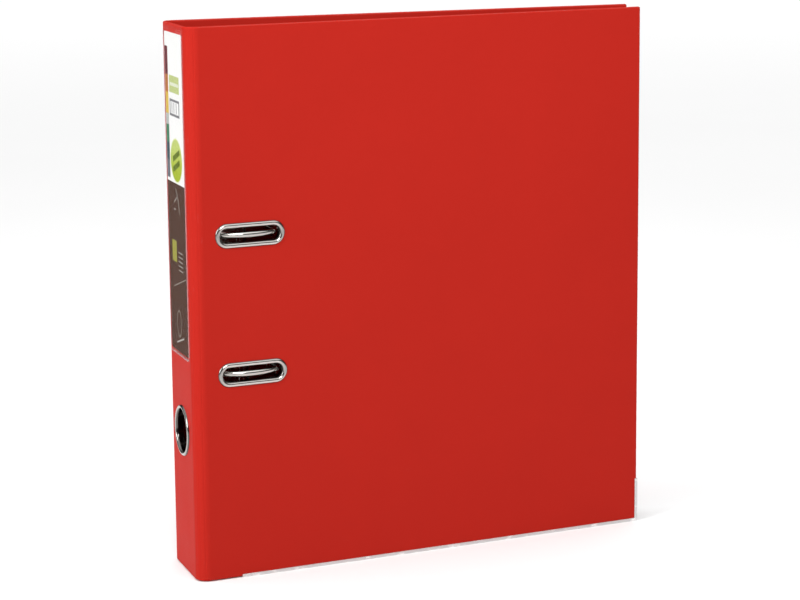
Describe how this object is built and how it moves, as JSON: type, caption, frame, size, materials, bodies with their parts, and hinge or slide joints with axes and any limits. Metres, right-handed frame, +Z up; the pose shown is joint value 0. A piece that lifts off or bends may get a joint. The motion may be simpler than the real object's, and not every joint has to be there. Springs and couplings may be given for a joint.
{
  "type": "lever arch file",
  "caption": "Tall tapered two-ring lever arch file: film-covered boards, creased spine, metal slots, finger ring, edge rails and an opening arch mechanism inside.",
  "frame": {"origin": "bottom centre of the overall box, on the surface that the file stands on", "axes": "+Z up, -Y out of the front cover, -X out of the spine"},
  "size_m": [0.2916, 0.0562, 0.318],
  "materials": {
    "greyboard": "matte",
    "cover_film": "satin",
    "lining_film": "satin",
    "crease_film": "satin",
    "nickel_trim": "polished",
    "edge_metal": "satin",
    "clear_film": "gloss",
    "label_card": "matte",
    "nickel_steel": "polished",
    "spring_steel": "satin",
    "rivet_metal": "satin"
  },
  "bodies": {
    "back_cover": {"back_board": "greyboard", "back_cover_film": "cover_film", "back_lining": "lining_film", "back_edge_rail": "edge_metal", "base_plate": "nickel_steel", "mounting_rivets": "rivet_metal", "lower_post": "nickel_steel", "upper_post": "nickel_steel", "opening_spring": "spring_steel", "spring_rivet": "rivet_metal", "lever_pivot_pin": "rivet_metal"},
    "spine": {"spine_board": "greyboard", "spine_film": "cover_film", "spine_lining": "lining_film", "back_hinge_strip": "crease_film", "front_hinge_strip": "crease_film", "finger_ring": "nickel_trim", "finger_ring_backing": "nickel_trim", "label_pocket": "clear_film", "spine_label": "label_card"},
    "front_cover": {"front_board": "greyboard", "front_cover_film": "cover_film", "front_lining": "lining_film", "upper_slot_eyelet": "nickel_trim", "lower_slot_eyelet": "nickel_trim", "upper_slot_backing": "nickel_trim", "lower_slot_backing": "nickel_trim", "front_edge_rail": "edge_metal"},
    "arches": {"arch_bow": "nickel_steel"},
    "lever": {"lever": "nickel_steel", "roller_pin": "rivet_metal"},
    "cam_roller": {"cam_roller": "nickel_steel"},
    "compressor_bar": {"compressor_bar": "nickel_steel"}
  },
  "joints": [
    {"name": "front_cover_open", "type": "hinge", "parent": "spine", "child": "front_cover", "pos_m": [-0.14288, -0.02688, 0.159], "axis": [0, 0, -1], "range_deg": [0, 96], "deforming": ["front_hinge_strip"]},
    {"name": "spine_fold", "type": "hinge", "parent": "back_cover", "child": "spine", "pos_m": [-0.1431, 0.02571, 0.159], "axis": [0, 0, -1], "range_deg": [0, 90], "deforming": ["back_hinge_strip"]},
    {"name": "arch_swing", "type": "hinge", "parent": "back_cover", "child": "arches", "pos_m": [-0.1326, 0.01961, 0.16], "axis": [0, 0, -1], "range_deg": [0, 40]},
    {"name": "lever_lift", "type": "hinge", "parent": "back_cover", "child": "lever", "pos_m": [-0.1151, 0.00221, 0.18], "axis": [-1, 0, 0], "range_deg": [0, 90]},
    {"name": "roller_spin", "type": "hinge", "parent": "lever", "child": "cam_roller", "pos_m": [-0.1151, 0.01281, 0.17437], "axis": [1, 0, 0], "continuous": true},
    {"name": "compressor_slide", "type": "slide", "parent": "back_cover", "child": "compressor_bar", "axis": [0, -1, 0], "range_m": [0, 0.015]}
  ],
  "couplings": [
    {"joint": "spine_fold", "follows": "front_cover_open", "ratio": 0.9375},
    {"joint": "arch_swing", "follows": "front_cover_open", "ratio": 0.41667},
    {"joint": "lever_lift", "follows": "front_cover_open", "ratio": 0.9375}
  ]
}
